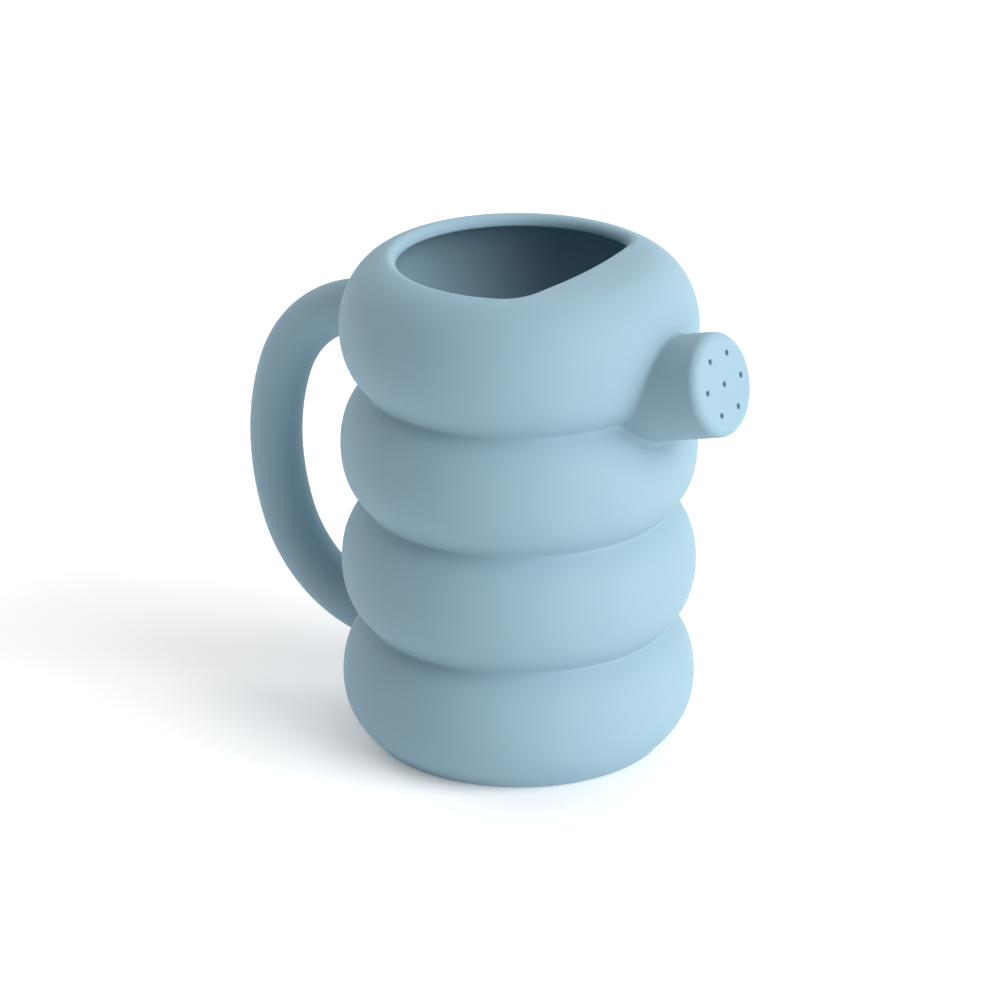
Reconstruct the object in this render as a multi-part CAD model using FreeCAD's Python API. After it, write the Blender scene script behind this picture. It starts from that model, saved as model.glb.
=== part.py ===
"""Small silicone watering can: a ringed vessel, a floor disc, a loop handle, a spout and its rose.

Millimetres. The origin is the centre of the underside, +Z is up, +X is the way the spout points.
"""
import FreeCAD, Part
import math
import os

Vector = FreeCAD.Vector

# Vessel: four equal bulging rings, one above the other
RING_COUNT = 4
RING_RADIUS = 52.5          # at the widest height of each ring
GROOVE_RADIUS = 45.2        # at the bottom of the groove between two rings
RING_PITCH = 36.4
FIRST_RING_Z = 19.1         # widest height of the lowest ring
BASE_RADIUS = 44.6
FOOT_ROUNDING = 2.0
WALL = 3.6
CROWN_WALL = 4.0            # thickness at the crown's level middle
HEIGHT = 150.0

# Roundness of the outer and inner curves: how far each one holds its direction at its ends
BULGE_REACH = 13.4
GROOVE_REACH = 1.5
INNER_BULGE_REACH = 13.3
INNER_GROOVE_REACH = 4.6
FOOT_FLANK = 30.0           # degrees off upright, just above the foot's rounding
FOOT_REACH = 2.0
LOW_RING_REACH = 11.7
CROWN_REACH = 11.7
CROWN_RIM_RADIUS = 38.1     # where the crown eases off to nearly level
CROWN_RIM_Z = 149.5
CROWN_RIM_SLOPE = 9.0       # degrees below level
CROWN_RIM_REACH = 7.6
INNER_FOOT_REACH = 7.0
INNER_LOW_RING_REACH = 10.0
INNER_CROWN_REACH = 6.5
CEILING_RADIUS = 33.6       # where the inside of the crown becomes level
CEILING_REACH = 12.3

# Mouth: a circle cut off by a gently bowed edge on the spout's side, which leaves a hood there
MOUTH_RADIUS = 35.9
HOOD_EDGE_X = 22.75
HOOD_EDGE_BOW = 156.0
MOUTH_CORNER = 11.3
LIP_ROUNDING = 2.5          # upper edge
LIP_LOWER_ROUNDING = 0.7

# Floor: a stepped disc bonded into the opening that the mould's core leaves by
FLOOR = 4.0
FLOOR_HOLE_RADIUS = 36.0
FLOOR_RABBET_RADIUS = 39.5
FLOOR_RABBET_DEPTH = 2.0

# Handle: one round bar bent by four tangent arcs in the XZ plane, behind the vessel
HANDLE_RADIUS = 8.0
HANDLE_REACH = 88.0         # centreline, at its furthest from the vessel's axis
HANDLE_TOP_Z = 124.2
HANDLE_TOP_CORNER = 37.0
HANDLE_TOP_BACK = 70.0
HANDLE_LOW_BACK = 73.0
HANDLE_LOW_CORNER = 40.0
HANDLE_CORNER_TURN = 70.4   # degrees turned by each corner arc
PEG_RADIUS = 4.5
PEG_DEPTH = 1.8             # into the vessel's wall

# Spout and rose, on one axis that leaves the vessel's axis plane tilted upwards
SPOUT_TILT = 15.2           # degrees
SPOUT_RADIUS = 15.1
SPOUT_BORE = 10.5
FACE_X = 69.3               # centre of the rose's outer face
FACE_Z = 123.9
SPOUT_REACH = 60.0          # behind the face, well inside the vessel, where the raw tube ends
ROSE_PLATE = 3.2
ROSE_EDGE_ROUNDING = 2.8
SKIRT_RADIUS = 11.8
SKIRT_BORE = 10.3
SKIRT_LENGTH = 6.0
SKIRT_FIT = 0.05            # radial gap of the push fit
SKIRT_END_GAP = 0.6         # between the skirt's end and the shoulder in the spout
SPRAY_HOLE_RADIUS = 0.85
SPRAY_CIRCLE_RADIUS = 9.2
SPRAY_HOLES_ROUND = 6
SPRAY_FIRST_ANGLE = 30.0    # degrees from the face's upward direction

ORIGIN = Vector(0, 0, 0)
UP = Vector(0, 0, 1)
TOUCH = 0.01                # points nearer than this count as one


def bezier(*points):
    """A cubic edge in the XZ plane from (x, z) control points."""
    curve = Part.BezierCurve()
    curve.setPoles([Vector(x, 0, z) for x, z in points])
    return curve.toShape()


def line(start, end):
    return Part.LineSegment(Vector(start[0], 0, start[1]), Vector(end[0], 0, end[1])).toShape()


def ring_heights():
    return [FIRST_RING_Z + i * RING_PITCH for i in range(RING_COUNT)]


def ring_edges(bulge, groove, bulge_reach, groove_reach):
    """The wavy stretch from the lowest ring's widest height to the top ring's."""
    edges = []
    for low in ring_heights()[:-1]:
        middle = low + RING_PITCH / 2
        high = low + RING_PITCH
        edges.append(bezier((bulge, low), (bulge, low + bulge_reach),
                            (groove, middle - groove_reach), (groove, middle)))
        edges.append(bezier((groove, middle), (groove, middle + groove_reach),
                            (bulge, high - bulge_reach), (bulge, high)))
    return edges


def revolved(edges):
    """The solid that a closed XZ outline sweeps about the vessel's axis."""
    face = Part.Face(Part.Wire(edges))
    return face.revolve(ORIGIN, UP, 360)


def foot_point(below_level):
    """A point on the foot's rounding, at an angle in degrees below the level direction."""
    angle = math.radians(below_level)
    return (BASE_RADIUS - FOOT_ROUNDING + FOOT_ROUNDING * math.cos(angle),
            FOOT_ROUNDING * (1 - math.sin(angle)))


def vessel_outside():
    """The vessel's outer shape, solid and with a closed top."""
    foot_start, foot_middle, foot_end = [foot_point(angle) for angle in (90, 60, FOOT_FLANK)]
    foot = Part.Arc(*[Vector(x, 0, z) for x, z in (foot_start, foot_middle, foot_end)]).toShape()
    flank = math.radians(FOOT_FLANK)
    flank_control = (foot_end[0] + FOOT_REACH * math.sin(flank),
                     foot_end[1] + FOOT_REACH * math.cos(flank))
    low_ring = bezier(foot_end, flank_control,
                      (RING_RADIUS, FIRST_RING_Z - LOW_RING_REACH), (RING_RADIUS, FIRST_RING_Z))
    top_ring_z = ring_heights()[-1]
    slope = math.radians(CROWN_RIM_SLOPE)
    rim_control = (CROWN_RIM_RADIUS + CROWN_RIM_REACH * math.cos(slope),
                   CROWN_RIM_Z - CROWN_RIM_REACH * math.sin(slope))
    crown = bezier((RING_RADIUS, top_ring_z), (RING_RADIUS, top_ring_z + CROWN_REACH),
                   rim_control, (CROWN_RIM_RADIUS, CROWN_RIM_Z))
    cap_reach = (HEIGHT - CROWN_RIM_Z) / math.tan(slope)
    flat_radius = CROWN_RIM_RADIUS - 3 * cap_reach
    cap = bezier((CROWN_RIM_RADIUS, CROWN_RIM_Z), (CROWN_RIM_RADIUS - cap_reach, HEIGHT),
                 (flat_radius + cap_reach, HEIGHT), (flat_radius, HEIGHT))
    edges = [line((0, 0), foot_start), foot, low_ring]
    edges += ring_edges(RING_RADIUS, GROOVE_RADIUS, BULGE_REACH, GROOVE_REACH)
    edges += [crown, cap, line((flat_radius, HEIGHT), (0, HEIGHT)), line((0, HEIGHT), (0, 0))]
    return revolved(edges)


def vessel_inside():
    """The space in the vessel: the outer shape less an even wall, closed at floor and crown."""
    bulge = RING_RADIUS - WALL
    top_ring_z = ring_heights()[-1]
    ceiling = HEIGHT - CROWN_WALL
    floor_corner = bezier((FLOOR_HOLE_RADIUS, FLOOR), (FLOOR_HOLE_RADIUS + INNER_FOOT_REACH, FLOOR),
                          (bulge, FIRST_RING_Z - INNER_LOW_RING_REACH), (bulge, FIRST_RING_Z))
    crown = bezier((bulge, top_ring_z), (bulge, top_ring_z + INNER_CROWN_REACH),
                   (CEILING_RADIUS + CEILING_REACH, ceiling), (CEILING_RADIUS, ceiling))
    edges = [line((0, FLOOR), (FLOOR_HOLE_RADIUS, FLOOR)), floor_corner]
    edges += ring_edges(bulge, GROOVE_RADIUS - WALL, INNER_BULGE_REACH, INNER_GROOVE_REACH)
    edges += [crown, line((CEILING_RADIUS, ceiling), (0, ceiling)), line((0, ceiling), (0, FLOOR))]
    return revolved(edges)


def mouth_cutter():
    """A prism with the mouth's plan, from below the crown to above it."""
    bottom = HEIGHT - 4 * CROWN_WALL
    tall = 8 * CROWN_WALL
    round_part = Part.makeCylinder(MOUTH_RADIUS, tall, Vector(0, 0, bottom))
    bow_centre = Vector(HOOD_EDGE_X - HOOD_EDGE_BOW, 0, bottom)
    bowed_part = Part.makeCylinder(HOOD_EDGE_BOW, tall, bow_centre)
    plan = round_part.common(bowed_part)
    corners = [edge for edge in plan.Edges if is_mouth_corner(edge)]
    return plan.makeFillet(MOUTH_CORNER, corners)


def is_mouth_corner(edge):
    """True for an upright edge of the mouth's prism away from the vessel's middle plane."""
    box = edge.BoundBox
    return box.ZLength > CROWN_WALL and box.XLength < TOUCH and abs(box.Center.y) > MOUTH_CORNER


def spout_point(behind_face):
    """A point on the spout's axis, a distance back from the rose's outer face."""
    return Vector(FACE_X, 0, FACE_Z) - spout_direction() * behind_face


def spout_direction():
    tilt = math.radians(SPOUT_TILT)
    return Vector(math.cos(tilt), 0, math.sin(tilt))


def spout_cylinder(radius, start, end):
    """A cylinder on the spout's axis between two distances back from the rose's face."""
    return Part.makeCylinder(radius, end - start, spout_point(end), spout_direction())


def turned(point, heading, radius, turn):
    """Follow an arc from a point: its middle, its end and the new heading, all in the XZ plane.

    A heading of 0 points along -X, and a heading of 90 degrees points along -Z.
    """
    def ahead(part):
        new = heading + part
        return Vector(point.x - radius * (math.sin(new) - math.sin(heading)), 0,
                      point.z - radius * (math.cos(heading) - math.cos(new)))
    return ahead(turn / 2), ahead(turn), heading + turn


def handle_path(inner_x):
    """The handle's centreline, which starts and ends level at a place inside the vessel's wall."""
    corner = math.radians(HANDLE_CORNER_TURN)
    rest = math.radians(90) - corner
    bend_start_x = (-HANDLE_REACH + HANDLE_TOP_CORNER * math.sin(corner)
                    + HANDLE_TOP_BACK * (1 - math.sin(corner)))
    point = Vector(bend_start_x, 0, HANDLE_TOP_Z)
    edges = [Part.LineSegment(Vector(inner_x, 0, HANDLE_TOP_Z), point).toShape()]
    heading = 0.0
    arcs = ((HANDLE_TOP_CORNER, corner), (HANDLE_TOP_BACK, rest),
            (HANDLE_LOW_BACK, rest), (HANDLE_LOW_CORNER, corner))
    for radius, turn in arcs:
        middle, end, heading = turned(point, heading, radius, turn)
        edges.append(Part.Arc(point, middle, end).toShape())
        point = end
    edges.append(Part.LineSegment(point, Vector(inner_x, 0, point.z)).toShape())
    return Part.Wire(edges)


def handle_low_z():
    return handle_path(0).Vertexes[-1].Z


def handle_bar():
    """The whole bent bar, with its ends still inside the vessel."""
    inner_x = -GROOVE_RADIUS
    section = Part.Wire(Part.makeCircle(HANDLE_RADIUS, Vector(inner_x, 0, HANDLE_TOP_Z),
                                        Vector(-1, 0, 0)))
    return handle_path(inner_x).makePipeShell([section], True, False)


def pegs():
    """The two short pegs at the handle's ends, and the same shapes as sockets in the wall."""
    peg_start = -RING_RADIUS + PEG_DEPTH
    length = HANDLE_RADIUS
    return [Part.makeCylinder(PEG_RADIUS, length, Vector(peg_start, 0, z), Vector(-1, 0, 0))
            for z in (HANDLE_TOP_Z, handle_low_z())]


def make_body_shell():
    shell = vessel_outside().cut(vessel_inside())
    shell = shell.cut(mouth_cutter())
    shell = shell.makeFillet(LIP_ROUNDING, lip_edges(shell, HEIGHT - CROWN_WALL / 2, HEIGHT))
    shell = shell.makeFillet(LIP_LOWER_ROUNDING, lip_edges(shell, 0, HEIGHT - CROWN_WALL / 2))
    shell = shell.cut(Part.makeCylinder(FLOOR_HOLE_RADIUS, 2 * FLOOR, Vector(0, 0, -FLOOR)))
    shell = shell.cut(Part.makeCylinder(FLOOR_RABBET_RADIUS, FLOOR_RABBET_DEPTH))
    shell = shell.cut(spout_cylinder(SPOUT_RADIUS, ROSE_PLATE, SPOUT_REACH))
    for peg in pegs():
        shell = shell.cut(peg)
    return shell


def lip_edges(shell, low, high):
    """The shell's level edges on the upright sides of the mouth, between two heights."""
    sides = [face for face in mouth_cutter().Faces if face.BoundBox.ZLength > CROWN_WALL]
    edges = [edge for edge in shell.Edges if edge.BoundBox.ZLength < CROWN_WALL / 4]
    found = []
    for edge in edges:
        middle = edge.valueAt((edge.FirstParameter + edge.LastParameter) / 2)
        if low < middle.z < high and any(touches(side, middle) for side in sides):
            found.append(edge)
    return found


def touches(face, point):
    return face.distToShape(Part.Vertex(point))[0] < TOUCH


def make_base_disc():
    flange = Part.makeCylinder(FLOOR_RABBET_RADIUS, FLOOR_RABBET_DEPTH)
    boss = Part.makeCylinder(FLOOR_HOLE_RADIUS, FLOOR)
    return flange.fuse(boss).removeSplitter()


def make_handle_loop():
    handle = handle_bar().cut(vessel_outside())
    for peg in pegs():
        handle = handle.fuse(peg)
    return handle.removeSplitter()


def make_spout_tube():
    tube = spout_cylinder(SPOUT_RADIUS, ROSE_PLATE, SPOUT_REACH)
    tube = tube.cut(spout_cylinder(SPOUT_BORE, 0, SPOUT_REACH))
    seat_end = ROSE_PLATE + SKIRT_LENGTH + SKIRT_END_GAP
    tube = tube.cut(spout_cylinder(SKIRT_RADIUS + SKIRT_FIT, 0, seat_end))
    return largest(tube.cut(vessel_inside()))


def largest(shape):
    return max(shape.Solids, key=lambda solid: solid.Volume)


def make_rose_cap():
    plate = spout_cylinder(SPOUT_RADIUS, 0, ROSE_PLATE)
    face = spout_point(0)
    front = [edge for edge in plate.Edges if is_round_about(edge, face)]
    plate = plate.makeFillet(ROSE_EDGE_ROUNDING, front)
    skirt_end = ROSE_PLATE + SKIRT_LENGTH
    skirt = spout_cylinder(SKIRT_RADIUS, ROSE_PLATE, skirt_end)
    skirt = skirt.cut(spout_cylinder(SKIRT_BORE, ROSE_PLATE, skirt_end))
    rose = plate.fuse(skirt).removeSplitter()
    for hole in spray_holes():
        rose = rose.cut(hole)
    return rose


def is_round_about(edge, centre):
    """True for a whole circle about a point."""
    return edge.Closed and (edge.CenterOfMass - centre).Length < TOUCH


def spray_holes():
    """One hole in the middle of the rose's plate and a circle of them round it."""
    direction = spout_direction()
    face_up = Vector(-direction.z, 0, direction.x)
    face_side = Vector(0, 1, 0)
    offsets = [ORIGIN]
    for i in range(SPRAY_HOLES_ROUND):
        angle = math.radians(SPRAY_FIRST_ANGLE + 360 / SPRAY_HOLES_ROUND * i)
        offsets.append((face_up * math.cos(angle) + face_side * math.sin(angle))
                       * SPRAY_CIRCLE_RADIUS)
    start = spout_point(2 * ROSE_PLATE)
    return [Part.makeCylinder(SPRAY_HOLE_RADIUS, 3 * ROSE_PLATE, start + offset, direction)
            for offset in offsets]


NODES = {
    "body_shell": make_body_shell,
    "base_disc": make_base_disc,
    "handle_loop": make_handle_loop,
    "spout_tube": make_spout_tube,
    "rose_cap": make_rose_cap,
}

os.makedirs("parts", exist_ok=True)
for name, make in NODES.items():
    shape = make()
    print(name, "solids", len(shape.Solids), "valid", shape.isValid(),
          "volume", round(shape.Volume), shape.BoundBox)
    shape.exportStep("parts/" + name + ".step")
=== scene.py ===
import math

import bmesh
import bpy
import numpy as np
from mathutils import Matrix, Vector
from mathutils.geometry import delaunay_2d_cdt


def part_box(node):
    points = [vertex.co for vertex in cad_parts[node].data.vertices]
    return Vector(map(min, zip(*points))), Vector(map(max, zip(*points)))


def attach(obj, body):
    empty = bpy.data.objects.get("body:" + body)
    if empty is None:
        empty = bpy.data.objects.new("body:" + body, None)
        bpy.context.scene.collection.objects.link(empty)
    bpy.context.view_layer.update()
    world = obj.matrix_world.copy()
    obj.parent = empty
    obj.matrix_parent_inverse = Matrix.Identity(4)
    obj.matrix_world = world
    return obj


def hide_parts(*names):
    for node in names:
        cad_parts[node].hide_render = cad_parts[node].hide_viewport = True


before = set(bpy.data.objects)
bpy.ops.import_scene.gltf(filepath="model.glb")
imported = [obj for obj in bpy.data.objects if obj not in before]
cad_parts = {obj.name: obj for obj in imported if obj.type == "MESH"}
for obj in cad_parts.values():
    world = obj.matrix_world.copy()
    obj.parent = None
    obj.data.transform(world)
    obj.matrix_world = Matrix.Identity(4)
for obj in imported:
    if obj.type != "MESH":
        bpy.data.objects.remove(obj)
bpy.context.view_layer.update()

# Lengths are in millimetres unless a comment says metres. The frame is the CAD's: the origin is under
# the can, +Z is up and +X is the spout's way. The reach of a ring, groove, foot or crown is how far the
# control point of its curve stands off.
MM = 0.001


def extent(node):
    """A CAD node's box in millimetres, as two arrays."""
    low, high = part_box(node)
    return np.array(low) / MM, np.array(high) / MM


SHELL_LOW, SHELL_HIGH = extent("body_shell")
HANDLE_LOW, HANDLE_HIGH = extent("handle_loop")
FLOOR_TOP = extent("base_disc")[1][2]
FLOOR_FLANGE_RADIUS = extent("base_disc")[1][0]

# Vessel
RING_COUNT = 4
RING_RADIUS = -SHELL_LOW[1]
HEIGHT = SHELL_HIGH[2]
GROOVE_RADIUS = 45.2
RING_PITCH = 36.4
FIRST_RING_Z = 19.1
RING_REACH = 13.4
GROOVE_REACH = 1.5
END_RING_REACH = 11.7       # below the lowest ring's widest height and above the top ring's
BASE_RADIUS = 44.6
FOOT_ROUNDING = 2.0
FOOT_FLANK = math.radians(30.0)
FOOT_REACH = 2.0
WALL = 3.6
CROWN_WALL = 4.0
CROWN_RIM_RADIUS = 38.1
CROWN_RIM_Z = HEIGHT - 0.5
CROWN_RIM_SLOPE = math.radians(9.0)
CROWN_RIM_REACH = 7.6
MOUTH_RADIUS = 35.9
HOOD_EDGE_X = 22.75
HOOD_EDGE_BOW = 156.0
MOUTH_CORNER = 11.3
LIP_ROUNDING = 2.5
LIP_LOWER_ROUNDING = 0.7
FLOOR_HOLE_RADIUS = 36.0
FLANGE_HEIGHT = 2.0
FLANGE_EDGE = 0.25          # the broken edge where the vessel meets the disc on the underside

# The vessel's inside
INNER_RING_REACH = 13.3
INNER_GROOVE_REACH = 4.6
INNER_FOOT_REACH_OUT = 7.0
INNER_FOOT_REACH_DOWN = 10.0
INNER_CROWN_REACH = 6.5
CEILING_BEND_RADIUS = 45.9
CEILING_FLAT_RADIUS = 33.6

# Floor disc
DISC_GAP = 0.02
DISC_TOP_RADII = (12.0, 24.0)
DISC_UNDERSIDE_RADII = (26.0, 13.0)
DISC_TOP_EDGE = ((0.6, 0.0), (0.15, 0.04), (0.0, 0.2))                      # (in from the edge, down)
DISC_FOOT_EDGE = ((0.0, 0.25), (0.07, 0.07), (0.25, 0.0), (1.0, 0.0))       # (in from the edge, up)

# Handle
HANDLE_RADIUS = (HANDLE_HIGH[1] - HANDLE_LOW[1]) / 2
HANDLE_REACH = -HANDLE_LOW[0] - HANDLE_RADIUS       # of its centreline from the vessel's axis
HANDLE_TOP_Z = HANDLE_HIGH[2] - HANDLE_RADIUS
HANDLE_TURN = math.radians(70.4)
HANDLE_ARCS = ((37.0, HANDLE_TURN), (70.0, math.pi / 2 - HANDLE_TURN),
               (73.0, math.pi / 2 - HANDLE_TURN), (40.0, HANDLE_TURN))      # (radius, turn)
HANDLE_PATH_STEP = 1.5
HANDLE_RING_COUNT = 122

# Spout and rose
SPOUT_TILT = math.radians(15.2)
SPOUT_RADIUS = 15.1
SPOUT_BORE = 10.5
FACE_CENTRE = np.array([69.3, 0.0, 123.9])
ROSE_PLATE = 3.2
ROSE_EDGE_ROUNDING = 2.8
SKIRT_RADIUS = 11.8
SKIRT_BORE = 10.3
SKIRT_LENGTH = 6.0
SKIRT_FIT = 0.05
SKIRT_END_GAP = 0.6
SEAT_MOUTH_EDGE = 0.25
SEAT_CORNER = 0.1
BORE_EDGE = 0.3
HOLE_CUTTER_RADIUS = 12.0   # wider than the bore and narrower than the spout
HOLE_CUTTER_LENGTH = 30.0
HOLE_CUTTER_BEHIND_FACE = 24.0
SPRAY_HOLE_RADIUS = 0.85
SPRAY_CIRCLE_RADIUS = 9.2
SPRAY_CIRCLE_HOLES = 6      # with one more hole in the middle
SPRAY_FIRST_ANGLE = math.radians(30.0)
SPRAY_EASE = 0.22           # the rounding of a spray hole's front edge
SPRAY_EASE_MARGIN = 0.15    # flat plate kept round that rounding
BACK_CHAMFER = 0.05         # small, because the outer spray holes come near the skirt's bore
FACE_MARGIN = 0.3           # flat plate kept inside the rose's rounded edge
SKIRT_ROOT_EASE = 0.2
SKIRT_END_EASE = 0.5
SKIRT_END_BEVEL = 0.15
SKIRT_BORE_EASE = 0.3
SEAM = 0.03                 # each half of the hair line between rose and spout

# Soft fillets that the moulded pieces have where they meet the vessel
SPOUT_FILLET = 2.0
INLET_FILLET = 1.6
HANDLE_FILLET = 2.2
FILLET_HOLD = 0.68          # how far a fillet's control points go towards the sharp corner
APRON = ((0.4, 0.004), (1.2, 0.03), (2.6, 0.7))     # (past the fillet, under the wall's surface)
APRON_HEM = 0.8

# Fineness of the meshes
SHARP_ANGLE = math.radians(40.0)
VESSEL_AROUND = 288
DISC_AROUND = 192
SPOUT_AROUND = 160
HANDLE_AROUND = 96
HOLE_CUTTER_AROUND = 96
SPRAY_HOLE_AROUND = 28
FOOT_ARC_POINTS = 9
CURVE_POINTS = 25
CROWN_POINTS = 60
CROWN_RINGS = 34
LIP_POINTS = 11
LIP_LOWER_POINTS = 6
INNER_CROWN_RINGS = 24
INNER_FOOT_POINTS = 17
INNER_CURVE_POINTS = 13
ROSE_EDGE_POINTS = 11
FILLET_STEPS = 12
INLET_STEPS = 6
NEAREST_STEPS = 12          # steps towards the nearest place on the wall
HALVINGS = 40               # of the interval in which a line crosses the wall


# ---------------------------------------------------------------- curves and profiles

def bezier(points, count):
    """Points along a cubic curve."""
    p = np.array(points, float)
    t = np.linspace(0, 1, count)[:, None]
    return ((1 - t) ** 3 * p[0] + 3 * (1 - t) ** 2 * t * p[1]
            + 3 * (1 - t) * t ** 2 * p[2] + t ** 3 * p[3])


def joined(*stretches):
    """One polyline from stretches that share their end points."""
    parts = [np.asarray(stretches[0], float)]
    for stretch in stretches[1:]:
        parts.append(np.asarray(stretch, float)[1:])
    return np.concatenate(parts)


def ring_heights():
    """The heights at which the rings are widest, from the lowest up."""
    return [FIRST_RING_Z + i * RING_PITCH for i in range(RING_COUNT)]


def wavy_wall(bulge, groove, bulge_reach, groove_reach, count):
    """(radius, z) points from the lowest ring's widest height up to the top ring's."""
    stretches = []
    for low in ring_heights()[:-1]:
        middle, high = low + RING_PITCH / 2, low + RING_PITCH
        stretches.append(bezier([(bulge, low), (bulge, low + bulge_reach),
                                 (groove, middle - groove_reach), (groove, middle)], count))
        stretches.append(bezier([(groove, middle), (groove, middle + groove_reach),
                                 (bulge, high - bulge_reach), (bulge, high)], count))
    return joined(*stretches)


def foot_profile(count):
    """From the flat underside round the foot and up to the lowest ring's widest height."""
    angles = np.linspace(math.pi / 2, FOOT_FLANK, FOOT_ARC_POINTS)
    centre_r = BASE_RADIUS - FOOT_ROUNDING
    arc = np.stack([centre_r + FOOT_ROUNDING * np.cos(angles),
                    FOOT_ROUNDING * (1 - np.sin(angles))], axis=1)
    end = arc[-1]
    control = end + FOOT_REACH * np.array([math.sin(FOOT_FLANK), math.cos(FOOT_FLANK)])
    ring = bezier([end, control, (RING_RADIUS, FIRST_RING_Z - END_RING_REACH),
                   (RING_RADIUS, FIRST_RING_Z)], count)
    return joined(arc, ring)


def outer_wall(count=CURVE_POINTS):
    """The outside, from the flat underside up to the top ring's widest height."""
    rings = wavy_wall(RING_RADIUS, GROOVE_RADIUS, RING_REACH, GROOVE_REACH, count)
    return joined(foot_profile(count), rings)


def crown_profile(count=CROWN_POINTS):
    """From the top ring's widest height over the crown to the level middle."""
    top = ring_heights()[-1]
    rim_control = (CROWN_RIM_RADIUS + CROWN_RIM_REACH * math.cos(CROWN_RIM_SLOPE),
                   CROWN_RIM_Z - CROWN_RIM_REACH * math.sin(CROWN_RIM_SLOPE))
    crown = bezier([(RING_RADIUS, top), (RING_RADIUS, top + END_RING_REACH), rim_control,
                    (CROWN_RIM_RADIUS, CROWN_RIM_Z)], count)
    reach = (HEIGHT - CROWN_RIM_Z) / math.tan(CROWN_RIM_SLOPE)
    flat = CROWN_RIM_RADIUS - 3 * reach
    cap = bezier([(CROWN_RIM_RADIUS, CROWN_RIM_Z), (CROWN_RIM_RADIUS - reach, HEIGHT),
                  (flat + reach, HEIGHT), (flat, HEIGHT)], count)
    return joined(crown, cap, [(flat, HEIGHT), (0, HEIGHT)])


def inner_wall():
    """The inside, from the floor hole's edge up to the top ring's widest height."""
    bulge = RING_RADIUS - WALL
    corner = bezier([(FLOOR_HOLE_RADIUS, FLOOR_TOP),
                     (FLOOR_HOLE_RADIUS + INNER_FOOT_REACH_OUT, FLOOR_TOP),
                     (bulge, FIRST_RING_Z - INNER_FOOT_REACH_DOWN), (bulge, FIRST_RING_Z)],
                    INNER_FOOT_POINTS)
    rings = wavy_wall(bulge, GROOVE_RADIUS - WALL, INNER_RING_REACH, INNER_GROOVE_REACH,
                      INNER_CURVE_POINTS)
    return joined(corner, rings)


def inner_crown_profile(count=CROWN_POINTS):
    """The inside, from the top ring's widest height to the ceiling's level middle."""
    bulge, top, ceiling = RING_RADIUS - WALL, ring_heights()[-1], HEIGHT - CROWN_WALL
    crown = bezier([(bulge, top), (bulge, top + INNER_CROWN_REACH), (CEILING_BEND_RADIUS, ceiling),
                    (CEILING_FLAT_RADIUS, ceiling)], count)
    return joined(crown, [(CEILING_FLAT_RADIUS, ceiling), (0, ceiling)])


def radius_by_height(profile, soften=0.0):
    """An even table of (radius, z) from a rising profile, averaged over a height either way."""
    margin, step = 0.1, 0.02
    z = np.arange(profile[0, 1] + margin, profile[-1, 1] - margin, step)
    radius = np.interp(z, profile[:, 1], profile[:, 0])
    reach = round(soften / step)
    if reach:
        padded = np.pad(radius, reach, mode="edge")
        radius = np.convolve(padded, np.ones(2 * reach + 1) / (2 * reach + 1), mode="valid")
    return np.stack([radius, z], axis=1)


# A crown is cut off where it has nearly stopped rising: 340 of its 400 points, or 50 of 60.
OUTER_RISE = joined(outer_wall(200), crown_profile(400)[:340])
INNER_RISE = joined(inner_wall(), inner_crown_profile(60)[:50])
SOFTENING = 0.9
OUTER_BY_Z = radius_by_height(OUTER_RISE)
OUTER_SOFT = radius_by_height(OUTER_RISE, SOFTENING)
INNER_BY_Z = radius_by_height(INNER_RISE)
INNER_SOFT = radius_by_height(INNER_RISE, SOFTENING)


def outside(points, profile=OUTER_BY_Z):
    """How far points lie outside the vessel's wall, measured level from its axis."""
    wall_radius = np.interp(points[..., 2], profile[:, 1], profile[:, 0])
    return np.hypot(points[..., 0], points[..., 1]) - wall_radius


def wall_normal(points, profile):
    """The outward normal of the wall at points near it, and how fast outside() grows along it."""
    step = 0.05
    columns = []
    for axis in range(3):
        shift = np.zeros(3)
        shift[axis] = step
        columns.append(outside(points + shift, profile) - outside(points - shift, profile))
    gradient = np.stack(columns, axis=-1) / (2 * step)
    size = np.linalg.norm(gradient, axis=-1, keepdims=True)
    return gradient / size, size[..., 0]


def onto_wall(points, profile):
    """Points moved to the nearest place on the vessel's wall."""
    for _ in range(NEAREST_STEPS):
        normal, size = wall_normal(points, profile)
        points = points - (outside(points, profile) / size)[..., None] * normal
    return points


# ---------------------------------------------------------------- mesh helpers

def finish_piece(name, bm, body, material):
    """A mesh object from a bmesh in metres, shaded smooth but for its sharp edges."""
    bmesh.ops.recalc_face_normals(bm, faces=bm.faces)
    for face in bm.faces:
        face.smooth = True
    for edge in bm.edges:
        if len(edge.link_faces) == 2 and edge.calc_face_angle() > SHARP_ANGLE:
            edge.smooth = False
    mesh = bpy.data.meshes.new(name)
    bm.to_mesh(mesh)
    bm.free()
    obj = bpy.data.objects.new(name, mesh)
    bpy.context.scene.collection.objects.link(obj)
    obj.data.materials.append(material)
    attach(obj, body)
    return obj


def piece_from_points(name, verts, faces, body, material):
    """A finished piece from points in millimetres and faces."""
    mesh = bpy.data.meshes.new(name)
    mesh.from_pydata([tuple(v) for v in verts * MM], [], faces)
    mesh.validate()
    bm = bmesh.new()
    bm.from_mesh(mesh)
    bpy.data.meshes.remove(mesh)
    return finish_piece(name, bm, body, material)


def grid_faces(rings, per_ring, wrap=False):
    """Quads between successive closed rings of points, and from the last to the first if wrap."""
    faces = []
    for i in range(rings if wrap else rings - 1):
        a, b = i * per_ring, (i + 1) % rings * per_ring
        for j in range(per_ring):
            k = (j + 1) % per_ring
            faces.append((a + j, a + k, b + k, b + j))
    return faces


def end_faces(rings, per_ring):
    """The two flat faces that close the first and the last ring of points."""
    last = (rings - 1) * per_ring
    return [tuple(range(per_ring)), tuple(range(last, last + per_ring))]


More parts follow.
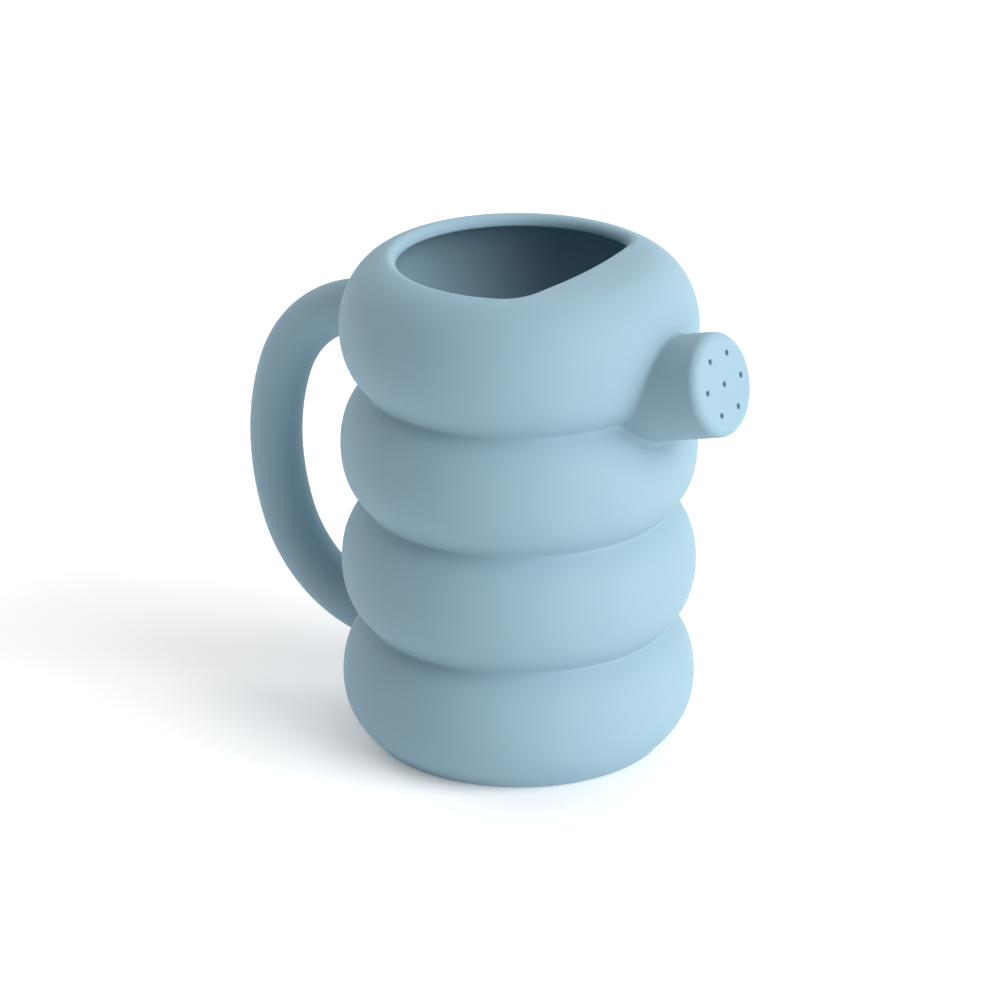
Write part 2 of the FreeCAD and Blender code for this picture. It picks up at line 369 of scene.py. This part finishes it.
def turns(count):
    """Even angles round a full turn."""
    return np.linspace(0, 2 * math.pi, count, endpoint=False)


def lathe_rings(profile, angles):
    """Rings of points about the Z axis, one per (radius, z) pair."""
    rings = []
    for radius, z in profile:
        rings.append(np.stack([radius * np.cos(angles), radius * np.sin(angles),
                               np.full_like(angles, z)], axis=1))
    return rings


# ---------------------------------------------------------------- vessel and floor disc

def mouth_plan(angles):
    """The mouth's outline at polar angles, and its outward normals, both in plan."""
    bow_x = HOOD_EDGE_X - HOOD_EDGE_BOW
    inner_circle = MOUTH_RADIUS - MOUTH_CORNER
    inner_bow = HOOD_EDGE_BOW - MOUTH_CORNER
    corner_x = (inner_circle ** 2 - inner_bow ** 2 + bow_x ** 2) / (2 * bow_x)
    corner = np.array([corner_x, math.sqrt(inner_circle ** 2 - corner_x ** 2)])
    round_end = math.atan2(corner[1], corner[0])
    bow_direction = corner - np.array([bow_x, 0])
    bow_end = corner + bow_direction / np.linalg.norm(bow_direction) * MOUTH_CORNER
    bow_end_angle = math.atan2(bow_end[1], bow_end[0])
    points, normals = [], []
    for angle in angles:
        turn = math.atan2(math.sin(angle), math.cos(angle))
        ray = np.array([math.cos(turn), math.sin(turn)])
        side = 1.0 if turn >= 0 else -1.0
        if abs(turn) >= round_end:
            centre, radius = np.zeros(2), MOUTH_RADIUS
        elif abs(turn) <= bow_end_angle:
            centre, radius = np.array([bow_x, 0.0]), HOOD_EDGE_BOW
        else:
            centre, radius = corner * np.array([1.0, side]), MOUTH_CORNER
        along = ray @ centre
        distance = along + math.sqrt(along ** 2 - centre @ centre + radius ** 2)
        point = ray * distance
        points.append(point)
        normals.append((point - centre) / radius)
    return np.array(points), np.array(normals)


def lip_start(plan, normal, crown):
    """Where the lip's rounding leaves the crown, in plan, and the crown's slope there."""
    order = np.argsort(crown[:, 0])
    radii, heights = crown[order, 0], crown[order, 1]
    slope = np.zeros(len(plan))
    step = 0.2
    for _ in range(4):
        start = plan + normal * (LIP_ROUNDING * (1 + np.sin(slope)))[:, None]
        radius = np.hypot(start[:, 0], start[:, 1])
        fall = np.interp(radius - step, radii, heights) - np.interp(radius + step, radii, heights)
        facing = (normal * start).sum(1) / radius
        slope = np.arctan(fall / (2 * step) * facing)
    return start, slope


def crown_rings(profile, ends, angles, count):
    """Rings from the widest height over the crown to end points in plan, on the revolved surface."""
    radii = np.hypot(ends[:, 0], ends[:, 1])
    end_angles = np.unwrap(np.arctan2(ends[:, 1], ends[:, 0]))
    end_angles += 2 * math.pi * np.round((angles - end_angles) / (2 * math.pi))
    lengths = np.concatenate([[0], np.cumsum(np.linalg.norm(np.diff(profile, axis=0), axis=1))])
    end_lengths = np.interp(-radii, -profile[:, 0], lengths)
    rings = []
    for i in range(1, count + 1):
        part = i / count
        length = end_lengths * part
        radius = np.interp(length, lengths, profile[:, 0])
        z = np.interp(length, lengths, profile[:, 1])
        turn = angles + (end_angles - angles) * part ** 2
        rings.append(np.stack([radius * np.cos(turn), radius * np.sin(turn), z], axis=1))
    return rings


def vessel_rings(angles):
    """The closed surface of the vessel wall: up the outside, over the lip, down the inside."""
    plan, normal = mouth_plan(angles)
    crown, inner_crown = crown_profile(), inner_crown_profile()
    rings = lathe_rings(outer_wall(), angles)
    start, slope = lip_start(plan, normal, crown)
    rings += crown_rings(crown, start, angles, CROWN_RINGS)
    top_z = rings[-1][:, 2]
    for tilt in np.linspace(0, 1, LIP_POINTS)[1:]:
        turn = -slope + (math.pi / 2 + slope) * tilt
        flat = plan + normal * (LIP_ROUNDING * (1 - np.sin(turn)))[:, None]
        z = top_z - LIP_ROUNDING * (np.cos(slope) - np.cos(turn))
        rings.append(np.column_stack([flat, z]))
    low_z = np.full_like(top_z, HEIGHT - CROWN_WALL + LIP_LOWER_ROUNDING)
    upper_z = rings[-1][:, 2]
    for part in (0.5, 1.0):
        rings.append(np.column_stack([plan, upper_z + (low_z - upper_z) * part]))
    for tilt in np.linspace(0, 1, LIP_LOWER_POINTS)[1:]:
        turn = tilt * math.pi / 2
        flat = plan + normal * (LIP_LOWER_ROUNDING * (1 - math.cos(turn)))
        rings.append(np.column_stack([flat, low_z - LIP_LOWER_ROUNDING * math.sin(turn)]))
    inner_end = rings[-1][:, :2]
    inner = crown_rings(inner_crown, inner_end, angles, INNER_CROWN_RINGS)[:-1]
    rings += inner[::-1]
    rings += lathe_rings(inner_wall()[::-1], angles)
    rabbet = [(FLOOR_HOLE_RADIUS, FLANGE_HEIGHT), (FLOOR_FLANGE_RADIUS, FLANGE_HEIGHT),
              (FLOOR_FLANGE_RADIUS, FLANGE_EDGE), (FLOOR_FLANGE_RADIUS + FLANGE_EDGE, 0.0)]
    rings += lathe_rings(rabbet, angles)
    return rings


def cut_spout_hole(obj):
    """Opens the wall behind the spout, where the water leaves the vessel."""
    bm = bmesh.new()
    matrix = Matrix.Translation(Vector(spout_point(HOLE_CUTTER_BEHIND_FACE) * MM)) @ spout_matrix()
    radius = HOLE_CUTTER_RADIUS * MM
    bmesh.ops.create_cone(bm, cap_ends=True, segments=HOLE_CUTTER_AROUND, radius1=radius,
                          radius2=radius, depth=HOLE_CUTTER_LENGTH * MM, matrix=matrix)
    mesh = bpy.data.meshes.new("spout_hole_cutter")
    bm.to_mesh(mesh)
    bm.free()
    cutter = bpy.data.objects.new("spout_hole_cutter", mesh)
    bpy.context.scene.collection.objects.link(cutter)
    modifier = obj.modifiers.new("spout_hole", "BOOLEAN")
    modifier.operation = "DIFFERENCE"
    modifier.solver = "EXACT"
    modifier.object = cutter
    bpy.context.view_layer.update()
    evaluated = obj.evaluated_get(bpy.context.evaluated_depsgraph_get())
    result = bpy.data.meshes.new_from_object(evaluated)
    obj.modifiers.clear()
    obj.data = result
    bpy.data.objects.remove(cutter)


def make_vessel(material):
    """The wall of four rings with its hood, mouth and lip."""
    rings = vessel_rings(turns(VESSEL_AROUND))
    faces = grid_faces(len(rings), VESSEL_AROUND, wrap=True)
    vessel = piece_from_points("vessel", np.concatenate(rings), faces, "can",
                               material)
    cut_spout_hole(vessel)
    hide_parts("body_shell")
    return vessel


def make_floor_disc(material):
    """The bonded disc: its top is the vessel's floor and its underside is part of the base."""
    top_edge, low_edge = FLOOR_HOLE_RADIUS - DISC_GAP, FLOOR_FLANGE_RADIUS - DISC_GAP
    profile = [(radius, FLOOR_TOP) for radius in DISC_TOP_RADII]
    profile += [(top_edge - inward, FLOOR_TOP - down) for inward, down in DISC_TOP_EDGE]
    profile += [(top_edge, FLANGE_HEIGHT), (low_edge, FLANGE_HEIGHT)]
    profile += [(low_edge - inward, up) for inward, up in DISC_FOOT_EDGE]
    profile += [(radius, 0.0) for radius in DISC_UNDERSIDE_RADII]
    rings = lathe_rings(profile, turns(DISC_AROUND))
    faces = grid_faces(len(rings), DISC_AROUND) + end_faces(len(rings), DISC_AROUND)
    disc = piece_from_points("floor_disc", np.concatenate(rings), faces, "can",
                             material)
    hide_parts("base_disc")
    return disc


# ---------------------------------------------------------------- pieces that grow out of the wall

def fillet_rings(corner, outward, up_axis, size, steps, profile=OUTER_SOFT, wall=OUTER_BY_Z,
                 sign=1.0):
    """Rings of a soft fillet round a root, from the tube down on to the wall.

    corner is where the tube's surface meets the wall, outward points away from the tube's axis,
    up_axis points away from the wall along the tube, and sign is -1 on the vessel's inside.
    The fillet lands on a softened profile, and its apron runs out from there into the real wall.
    """
    normal, _ = wall_normal(corner, profile)
    along = outward - (outward * normal).sum(1, keepdims=True) * normal
    along /= np.linalg.norm(along, axis=1, keepdims=True)
    landing = onto_wall(corner + along * size, profile)
    landing_normal, _ = wall_normal(landing, profile)
    back = corner - landing
    back -= (back * landing_normal).sum(1, keepdims=True) * landing_normal
    start = corner + up_axis * size
    start_control = start + (corner - start) * FILLET_HOLD
    landing_control = landing + back * FILLET_HOLD
    rings = []
    for t in np.linspace(0, 1, steps + 1):
        rings.append((1 - t) ** 3 * start + 3 * (1 - t) ** 2 * t * start_control
                     + 3 * (1 - t) * t ** 2 * landing_control + t ** 3 * landing)
    for (beyond, sunk), surface in zip(APRON, (profile, wall, wall)):
        apron = onto_wall(landing + along * beyond, surface)
        rings.append(apron - landing_normal * sunk * sign)
    rings.append(rings[-1] - landing_normal * APRON_HEM * sign)
    return rings


def spout_direction():
    """The way the water leaves."""
    return np.array([math.cos(SPOUT_TILT), 0.0, math.sin(SPOUT_TILT)])


def spout_point(behind_face):
    """A point on the spout's axis, at a distance behind the rose's face."""
    return FACE_CENTRE - spout_direction() * behind_face


def spout_matrix():
    """Turns +Z into the spout's direction."""
    return Vector(spout_direction()).to_track_quat("Z", "Y").to_matrix().to_4x4()


def spout_frame():
    """The spout's direction, and the two directions across it."""
    direction = spout_direction()
    side = np.array([0.0, 1.0, 0.0])
    up = np.array([-direction[2], 0.0, direction[0]])
    return direction, side, up


def spout_radial(angles):
    """Directions away from the spout's axis."""
    _, side, up = spout_frame()
    return np.cos(angles)[:, None] * up + np.sin(angles)[:, None] * side


def spout_ring(radius, behind, angles):
    """Points round the spout; behind the face is one distance, or one for each angle."""
    behind = np.asarray(behind)[..., None]
    return FACE_CENTRE - spout_direction() * behind + radius * spout_radial(angles)


def meet_wall(radius, angles, profile):
    """Where the lines along a spout cylinder cross the wall, and their distance behind the face."""
    near_face, inside_vessel = 5.0, 40.0
    low = np.full_like(angles, near_face)
    high = np.full_like(angles, inside_vessel)
    for _ in range(HALVINGS):
        middle = (low + high) / 2
        is_outside = outside(spout_ring(radius, middle, angles), profile) > 0
        low = np.where(is_outside, middle, low)
        high = np.where(is_outside, high, middle)
    return spout_ring(radius, low, angles), low


def make_spout(material):
    """The tube: from its inlet in the vessel up the bore, over the rim, and down the outside."""
    angles = turns(SPOUT_AROUND)
    direction, radial = spout_direction(), spout_radial(angles)
    corner, behind = meet_wall(SPOUT_BORE, angles, INNER_BY_Z)
    rings = fillet_rings(corner, radial, direction, INLET_FILLET, INLET_STEPS, INNER_SOFT,
                         INNER_BY_Z, -1.0)[::-1]
    seat = ROSE_PLATE + SKIRT_LENGTH + SKIRT_END_GAP
    seat_radius = SKIRT_RADIUS + SKIRT_FIT
    start, stop = behind - INLET_FILLET, seat + BORE_EDGE
    for part in (0.3, 0.6, 0.9):
        rings.append(spout_ring(SPOUT_BORE, start + (stop - start) * part, angles))
    for radius, depth in ((SPOUT_BORE, seat + BORE_EDGE), (SPOUT_BORE + BORE_EDGE, seat),
                          (seat_radius - SEAT_CORNER, seat), (seat_radius, seat - SEAT_CORNER),
                          (seat_radius, ROSE_PLATE + SEAT_MOUTH_EDGE),
                          (seat_radius + SEAT_MOUTH_EDGE, ROSE_PLATE),
                          (SPOUT_RADIUS - SEAM, ROSE_PLATE), (SPOUT_RADIUS, ROSE_PLATE + SEAM)):
        rings.append(spout_ring(radius, depth, angles))
    corner, behind = meet_wall(SPOUT_RADIUS, angles, OUTER_BY_Z)
    start, stop = ROSE_PLATE + SEAM, behind - SPOUT_FILLET
    for part in np.linspace(0, 1, 8)[1:-1]:
        rings.append(spout_ring(SPOUT_RADIUS, start + (stop - start) * part, angles))
    rings += fillet_rings(corner, radial, direction, SPOUT_FILLET, FILLET_STEPS)
    faces = grid_faces(len(rings), SPOUT_AROUND, wrap=True)
    spout = piece_from_points("spout", np.concatenate(rings), faces, "can",
                              material)
    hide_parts("spout_tube")
    return spout


# ---------------------------------------------------------------- rose

def circle_loop(bm, centre, radius, count, depth):
    """A closed loop of vertices, level at a depth behind the rose's face."""
    verts = []
    for i in range(count):
        angle = 2 * math.pi * i / count
        offset = centre + radius * np.array([math.cos(angle), math.sin(angle)])
        verts.append(bm.verts.new((offset[0], offset[1], depth)))
    return verts


def bridge(bm, loops):
    """Quads from each loop of vertices to the next."""
    for first, second in zip(loops, loops[1:]):
        for i in range(len(first)):
            j = (i + 1) % len(first)
            bm.faces.new((first[i], first[j], second[j], second[i]))


def fill_between(bm, loops):
    """Fills the level plane between an outer loop, which comes first, and the holes in it."""
    verts, loop_of, edges = [], [], []
    for number, loop in enumerate(loops):
        first = len(verts)
        for i, vert in enumerate(loop):
            edges.append((first + i, first + (i + 1) % len(loop)))
            verts.append(vert)
            loop_of.append(number)
    points = [Vector((vert.co.x, vert.co.y)) for vert in verts]
    _, _, triangles, sources, _, _ = delaunay_2d_cdt(points, edges, [], 0, 1e-6)
    for triangle in triangles:
        corners = [sources[i][0] for i in triangle]
        loops_met = {loop_of[corner] for corner in corners}
        if len(loops_met) > 1 or 0 in loops_met:        # the others close a hole
            bm.faces.new([verts[corner] for corner in corners])


def spray_hole_loops(bm, hole):
    """The loops of one spray hole, from the flat face over its soft edge to the plate's back."""
    sizes = [(SPRAY_HOLE_RADIUS + SPRAY_EASE + SPRAY_EASE_MARGIN, 0)]
    for turn in np.linspace(0, math.pi / 2, 4):
        sizes.append((SPRAY_HOLE_RADIUS + SPRAY_EASE * (1 - math.sin(turn)),
                      SPRAY_EASE * (1 - math.cos(turn))))
    sizes.append((SPRAY_HOLE_RADIUS, ROSE_PLATE - BACK_CHAMFER))
    sizes.append((SPRAY_HOLE_RADIUS + BACK_CHAMFER, ROSE_PLATE))
    return [circle_loop(bm, hole, radius, SPRAY_HOLE_AROUND, depth) for radius, depth in sizes]


def rose_outline():
    """(radius, depth) points from the flat face over its edge, down the skirt and up its bore."""
    flat_radius = SPOUT_RADIUS - ROSE_EDGE_ROUNDING
    skirt_end = ROSE_PLATE + SKIRT_LENGTH
    outline = [(flat_radius - FACE_MARGIN, 0)]
    for turn in np.linspace(0, math.pi / 2, ROSE_EDGE_POINTS):
        outline.append((flat_radius + ROSE_EDGE_ROUNDING * math.sin(turn),
                        ROSE_EDGE_ROUNDING * (1 - math.cos(turn))))
    outline += [(SPOUT_RADIUS, ROSE_PLATE - SEAM), (SPOUT_RADIUS - SEAM, ROSE_PLATE),
                (SKIRT_RADIUS + SKIRT_ROOT_EASE, ROSE_PLATE),
                (SKIRT_RADIUS, ROSE_PLATE + SKIRT_ROOT_EASE),
                (SKIRT_RADIUS, skirt_end - SKIRT_END_EASE),
                (SKIRT_RADIUS - SKIRT_END_BEVEL, skirt_end - SKIRT_END_BEVEL),
                (SKIRT_RADIUS - SKIRT_END_EASE, skirt_end),
                (SKIRT_BORE + SKIRT_BORE_EASE, skirt_end),
                (SKIRT_BORE, skirt_end - SKIRT_BORE_EASE),
                (SKIRT_BORE, ROSE_PLATE + BACK_CHAMFER),
                (SKIRT_BORE - BACK_CHAMFER, ROSE_PLATE)]
    return outline


def make_rose(material):
    """The perforated plate with its rounded edge, its seven holes and its skirt.

    It is built level and in millimetres, where the fills are exact, and then set in place.
    """
    bm = bmesh.new()
    centre = np.zeros(2)
    holes = [centre]
    for i in range(SPRAY_CIRCLE_HOLES):
        angle = SPRAY_FIRST_ANGLE + 2 * math.pi * i / SPRAY_CIRCLE_HOLES
        holes.append(SPRAY_CIRCLE_RADIUS * np.array([math.cos(angle), math.sin(angle)]))
    front_loops, back_loops = [], []
    for hole in holes:
        loops = spray_hole_loops(bm, hole)
        bridge(bm, loops)
        front_loops.append(loops[0])
        back_loops.append(loops[-1])
    loops = [circle_loop(bm, centre, radius, SPOUT_AROUND, depth) for radius, depth in rose_outline()]
    bridge(bm, loops)
    fill_between(bm, [loops[0]] + front_loops)
    fill_between(bm, [loops[-1]] + back_loops)
    _, side, up = spout_frame()
    for vert in bm.verts:
        vert.co = (spout_point(vert.co.z) + up * vert.co.x + side * vert.co.y) * MM
    rose = finish_piece("rose", bm, "rose", material)
    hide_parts("rose_cap")
    return rose


# ---------------------------------------------------------------- handle

def arc_point(point, heading, radius, new):
    """Where an arc that leaves a point on one heading has turned to the new heading."""
    return point + np.array([-radius * (math.sin(new) - math.sin(heading)),
                             -radius * (math.cos(heading) - math.cos(new))])


def handle_path():
    """Points and headings along the handle's centreline, in the XZ plane."""
    (top_corner, turn), (top_back, _), _, _ = HANDLE_ARCS
    start_x = -HANDLE_REACH + top_corner * math.sin(turn) + top_back * (1 - math.sin(turn))
    point, heading = np.array([start_x, HANDLE_TOP_Z]), 0.0
    wall_x = -GROOVE_RADIUS
    points, headings = [np.array([wall_x, HANDLE_TOP_Z])], [0.0]
    for radius, arc_turn in HANDLE_ARCS:
        count = max(8, round(radius * arc_turn / HANDLE_PATH_STEP))
        for part in np.linspace(0, 1, count + 1)[:-1]:
            new = heading + arc_turn * part
            points.append(arc_point(point, heading, radius, new))
            headings.append(new)
        end = heading + arc_turn
        point = arc_point(point, heading, radius, end)
        heading = end
    points.append(point)
    headings.append(heading)
    points.append(np.array([wall_x, point[1]]))
    headings.append(heading)
    return np.array(points), np.array(headings)


def make_handle(material):
    """The solid bar, with a soft fillet at each root."""
    angles = turns(HANDLE_AROUND)
    points, headings = handle_path()
    tangents = np.stack([-np.cos(headings), np.zeros_like(headings), -np.sin(headings)], axis=1)
    sides = np.array([0.0, 1.0, 0.0])
    ups = np.stack([-np.sin(headings), np.zeros_like(headings), np.cos(headings)], axis=1)
    centres = np.stack([points[:, 0], np.zeros(len(points)), points[:, 1]], axis=1)
    lengths = np.concatenate([[0], np.cumsum(np.linalg.norm(np.diff(centres, axis=0), axis=1))])

    def surface(length, angle):
        """Points on the bar at lengths along it, for each angle round it."""
        centre = np.stack([np.interp(length, lengths, centres[:, k]) for k in range(3)], axis=1)
        up = np.stack([np.interp(length, lengths, ups[:, k]) for k in range(3)], axis=1)
        up /= np.linalg.norm(up, axis=1, keepdims=True)
        radial = np.cos(angle)[:, None] * up + np.sin(angle)[:, None] * sides
        return centre + HANDLE_RADIUS * radial, radial

    def wall_length(inside, beyond):
        """How far along the bar its surface leaves the wall, for each angle round it."""
        low = np.full_like(angles, inside)
        high = np.full_like(angles, beyond)
        for _ in range(HALVINGS):
            middle = (low + high) / 2
            is_out = outside(surface(middle, angles)[0]) > 0
            high = np.where(is_out, middle, high)
            low = np.where(is_out, low, middle)
        return low

    total, clear_of_wall = lengths[-1], 30.0
    top = wall_length(0.0, clear_of_wall)
    low = wall_length(total, total - clear_of_wall)
    top_corner, top_radial = surface(top, angles)
    low_corner, low_radial = surface(low, angles)
    top_along = np.tile(tangents[0], (len(angles), 1))
    low_along = np.tile(-tangents[-1], (len(angles), 1))
    rings = fillet_rings(top_corner, top_radial, top_along, HANDLE_FILLET, FILLET_STEPS)[::-1]
    start, stop = top + HANDLE_FILLET, low - HANDLE_FILLET
    for part in np.linspace(0, 1, HANDLE_RING_COUNT)[1:-1]:
        rings.append(surface(start + (stop - start) * part, angles)[0])
    rings += fillet_rings(low_corner, low_radial, low_along, HANDLE_FILLET, FILLET_STEPS)
    faces = grid_faces(len(rings), HANDLE_AROUND) + end_faces(len(rings), HANDLE_AROUND)
    handle = piece_from_points("handle", np.concatenate(rings), faces, "can",
                               material)
    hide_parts("handle_loop")
    return handle


# ---------------------------------------------------------------- materials

SILICONE_COLOUR = (0.262, 0.40, 0.48)
DARKER, LIGHTER = 0.975, 1.025      # the mottling's range of tone
CLOUD_SCALE = 28.0                  # noise cells per metre: mottling about 36 mm across
GRAIN_SCALE = 2600.0                # a grain about 0.4 mm across
GRAIN_DEPTH = 0.00008               # metres
MIX_FACTOR, MIX_A, MIX_B, MIX_RESULT = 0, 6, 7, 2       # a colour Mix node's sockets, by index


def silicone(name):
    """Matte moulded silicone with a fine powdery grain and faint dust-like mottling."""
    material = bpy.data.materials.new(name)
    material.use_nodes = True
    tree = material.node_tree
    nodes, links = tree.nodes, tree.links
    shader = nodes["Principled BSDF"]
    shader.inputs["IOR"].default_value = 1.41
    shader.inputs["Subsurface Weight"].default_value = 0.18
    shader.inputs["Subsurface Radius"].default_value = (0.5, 0.8, 1.0)
    shader.inputs["Subsurface Scale"].default_value = 0.003
    shader.inputs["Specular IOR Level"].default_value = 0.35
    place = nodes.new("ShaderNodeTexCoord")

    def noise(scale, detail):
        node = nodes.new("ShaderNodeTexNoise")
        node.inputs["Scale"].default_value = scale
        node.inputs["Detail"].default_value = detail
        links.new(place.outputs["Object"], node.inputs["Vector"])
        return node

    cloud = noise(CLOUD_SCALE, 3.0)
    grain = noise(GRAIN_SCALE, 2.0)
    tone = nodes.new("ShaderNodeMix")
    tone.data_type = "RGBA"
    tone.inputs[MIX_A].default_value = tuple(c * DARKER for c in SILICONE_COLOUR) + (1.0,)
    tone.inputs[MIX_B].default_value = tuple(c * LIGHTER for c in SILICONE_COLOUR) + (1.0,)
    links.new(cloud.outputs["Fac"], tone.inputs[MIX_FACTOR])
    links.new(tone.outputs[MIX_RESULT], shader.inputs["Base Color"])
    rough = nodes.new("ShaderNodeMapRange")
    rough.inputs["To Min"].default_value = 0.58
    rough.inputs["To Max"].default_value = 0.68
    links.new(cloud.outputs["Fac"], rough.inputs["Value"])
    links.new(rough.outputs["Result"], shader.inputs["Roughness"])
    bump = nodes.new("ShaderNodeBump")
    bump.inputs["Strength"].default_value = 0.3
    bump.inputs["Distance"].default_value = GRAIN_DEPTH
    links.new(grain.outputs["Fac"], bump.inputs["Height"])
    links.new(bump.outputs["Normal"], shader.inputs["Normal"])
    return material


def pale_floor():
    """A nearly white studio floor; its faint glow keeps the shadows on it light."""
    material = bpy.data.materials.new("pale_floor")
    material.use_nodes = True
    shader = material.node_tree.nodes["Principled BSDF"]
    shader.inputs["Base Color"].default_value = (0.92, 0.92, 0.92, 1.0)
    shader.inputs["Roughness"].default_value = 0.9
    shader.inputs["Specular IOR Level"].default_value = 0.1
    shader.inputs["Emission Color"].default_value = (1.0, 1.0, 1.0, 1.0)
    shader.inputs["Emission Strength"].default_value = 0.15
    return material


# ---------------------------------------------------------------- stage, light and camera

FLOOR_CLEARANCE = 0.05      # keeps the floor and the can's underside from sharing a plane
FLOOR_HALF_SIZE = 40.0      # metres, so that its edge stays out of low views
CAMERA_AZIMUTH = math.radians(33.1)
CAMERA_ELEVATION = math.radians(22.03)
CAMERA_DISTANCE = 1.3556    # metres
CAMERA_TARGET = Vector((-0.00470, -0.00306, 0.07317))       # metres
CAMERA_LENS = 165.33        # on a sensor 36 mm wide
WORLD_STRENGTH = 0.1
LIGHTS = (                  # name, degrees right of the camera, above level and across, strength
    ("key", 60, 22, 50, 3.3),
    ("high_key", 50, 50, 50, 0.5),
    ("overhead", 0, 85, 70, 0.32),
    ("back_right", 150, 35, 60, 1.1),
    ("back_left", -130, 35, 60, 1.25),
    ("front_fill", -5, 30, 60, 0.1),
)


def make_floor():
    """The plain stage under the can, which isn't part of it."""
    bm = bmesh.new()
    bmesh.ops.create_grid(bm, x_segments=1, y_segments=1, size=FLOOR_HALF_SIZE)
    mesh = bpy.data.meshes.new("floor")
    bm.to_mesh(mesh)
    bm.free()
    floor = bpy.data.objects.new("floor", mesh)
    bpy.context.scene.collection.objects.link(floor)
    floor.location.z = -FLOOR_CLEARANCE * MM
    floor.data.materials.append(pale_floor())


def bearing(azimuth, elevation):
    """The direction from the can to something at an azimuth from -Y, and a height above level."""
    level = math.cos(elevation)
    return Vector((math.sin(azimuth) * level, -math.cos(azimuth) * level, math.sin(elevation)))


def make_camera():
    """The view in which the spout points to the right and towards the viewer."""
    data = bpy.data.cameras.new("camera")
    data.lens = CAMERA_LENS
    data.sensor_width = 36.0
    data.clip_start = 0.05
    data.clip_end = 100.0
    camera = bpy.data.objects.new("camera", data)
    away = bearing(CAMERA_AZIMUTH, CAMERA_ELEVATION)
    camera.location = CAMERA_TARGET + away * CAMERA_DISTANCE
    camera.rotation_euler = (-away).to_track_quat("-Z", "Y").to_euler()
    bpy.context.scene.collection.objects.link(camera)
    bpy.context.scene.camera = camera


def broad_light(name, turned_right, height, spread, strength):
    """A broad, far, soft light: degrees right of the camera's bearing, above level and across."""
    light = bpy.data.lights.new(name, "SUN")
    light.angle = math.radians(spread)
    light.energy = strength
    away = bearing(CAMERA_AZIMUTH + math.radians(turned_right), math.radians(height))
    obj = bpy.data.objects.new(name, light)
    obj.rotation_euler = (-away).to_track_quat("-Z", "Y").to_euler()
    bpy.context.scene.collection.objects.link(obj)


def make_light():
    """A faint even world and the broad lights of a soft white studio."""
    world = bpy.data.worlds.new("studio")
    world.use_nodes = True
    background = world.node_tree.nodes["Background"]
    background.inputs["Color"].default_value = (1.0, 1.0, 1.0, 1.0)
    background.inputs["Strength"].default_value = WORLD_STRENGTH
    bpy.context.scene.world = world
    for name, turned_right, height, spread, strength in LIGHTS:
        broad_light(name, turned_right, height, spread, strength)


# ---------------------------------------------------------------- the scene

bpy.context.scene.view_settings.view_transform = "Standard"
make_camera()
make_light()
make_floor()
vessel_silicone = silicone("vessel_silicone")
make_vessel(vessel_silicone)
make_floor_disc(vessel_silicone)
make_spout(silicone("spout_silicone"))
make_rose(silicone("rose_silicone"))
make_handle(silicone("handle_silicone"))

bpy.context.view_layer.update()
